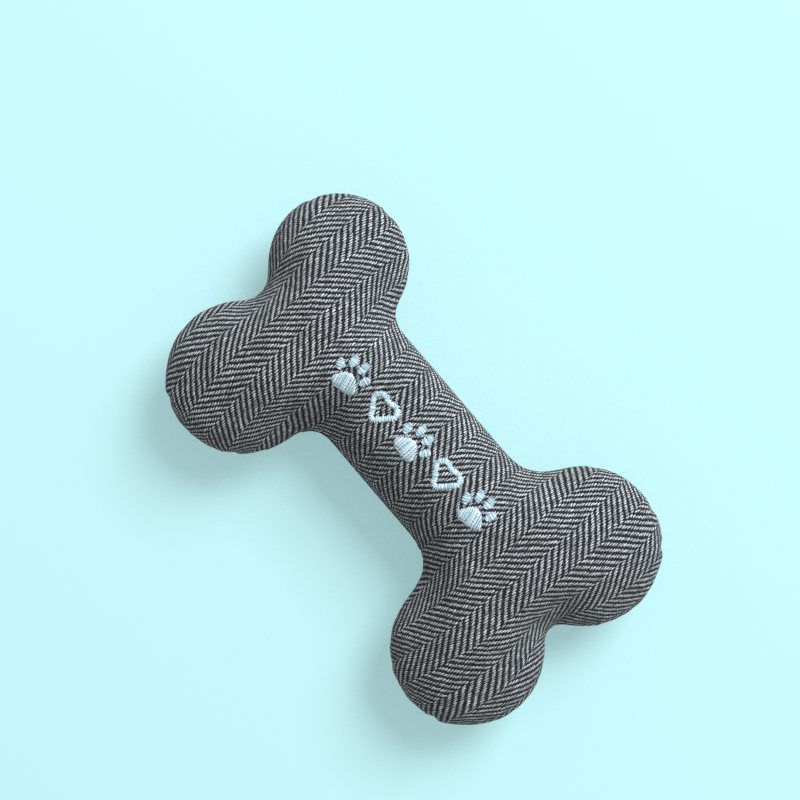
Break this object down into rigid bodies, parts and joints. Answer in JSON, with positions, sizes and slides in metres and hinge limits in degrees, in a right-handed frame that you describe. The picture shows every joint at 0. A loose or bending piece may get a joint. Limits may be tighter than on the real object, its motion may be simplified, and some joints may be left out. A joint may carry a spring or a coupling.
{
  "type": "stuffed dog toy",
  "caption": "Bone-shaped stuffed dog toy in herringbone tweed, two sewn panels over fibre filling with a squeaker, and pale satin-stitch embroidery along its front.",
  "frame": {"origin": "middle of the bone's outline, on the surface that its back rests on", "axes": "+X along the bone's length, +Y across it, +Z out of the embroidered front"},
  "size_m": [0.1823, 0.1077, 0.043],
  "materials": {
    "tweed": "charcoal and off-white wool herringbone, brushed",
    "seam_thread": "dark polyester sewing thread",
    "squeaker_bulb": "thin blown plastic, satin",
    "whistle": "moulded plastic",
    "reed": "thin film",
    "backing": "non-woven embroidery backing",
    "filling": "loose polyester fibre",
    "embroidery": "pale blue rayon thread in satin stitch"
  },
  "bodies": {
    "root": {"front_panel": "tweed", "back_panel": "tweed", "seam_needle_thread": "seam_thread", "seam_bobbin_thread": "seam_thread", "closing_thread": "seam_thread", "squeaker_bulb": "squeaker_bulb", "squeaker_whistle": "whistle", "squeaker_reed_block": "whistle", "squeaker_reed": "reed", "embroidery_backing": "backing", "filling_body_front": "filling", "filling_body_back": "filling", "filling_knob_upper_left": "filling", "filling_knob_lower_left": "filling", "filling_knob_lower_right": "filling", "filling_knob_upper_right": "filling", "paw_left_pad": "embroidery", "paw_left_toe_1": "embroidery", "paw_left_toe_2": "embroidery", "paw_left_toe_3": "embroidery", "paw_left_toe_4": "embroidery", "heart_left": "embroidery", "paw_middle_pad": "embroidery", "paw_middle_toe_1": "embroidery", "paw_middle_toe_2": "embroidery", "paw_middle_toe_3": "embroidery", "paw_middle_toe_4": "embroidery", "heart_right": "embroidery", "paw_right_pad": "embroidery", "paw_right_toe_1": "embroidery", "paw_right_toe_2": "embroidery", "paw_right_toe_3": "embroidery", "paw_right_toe_4": "embroidery"}
  },
  "joints": []
}
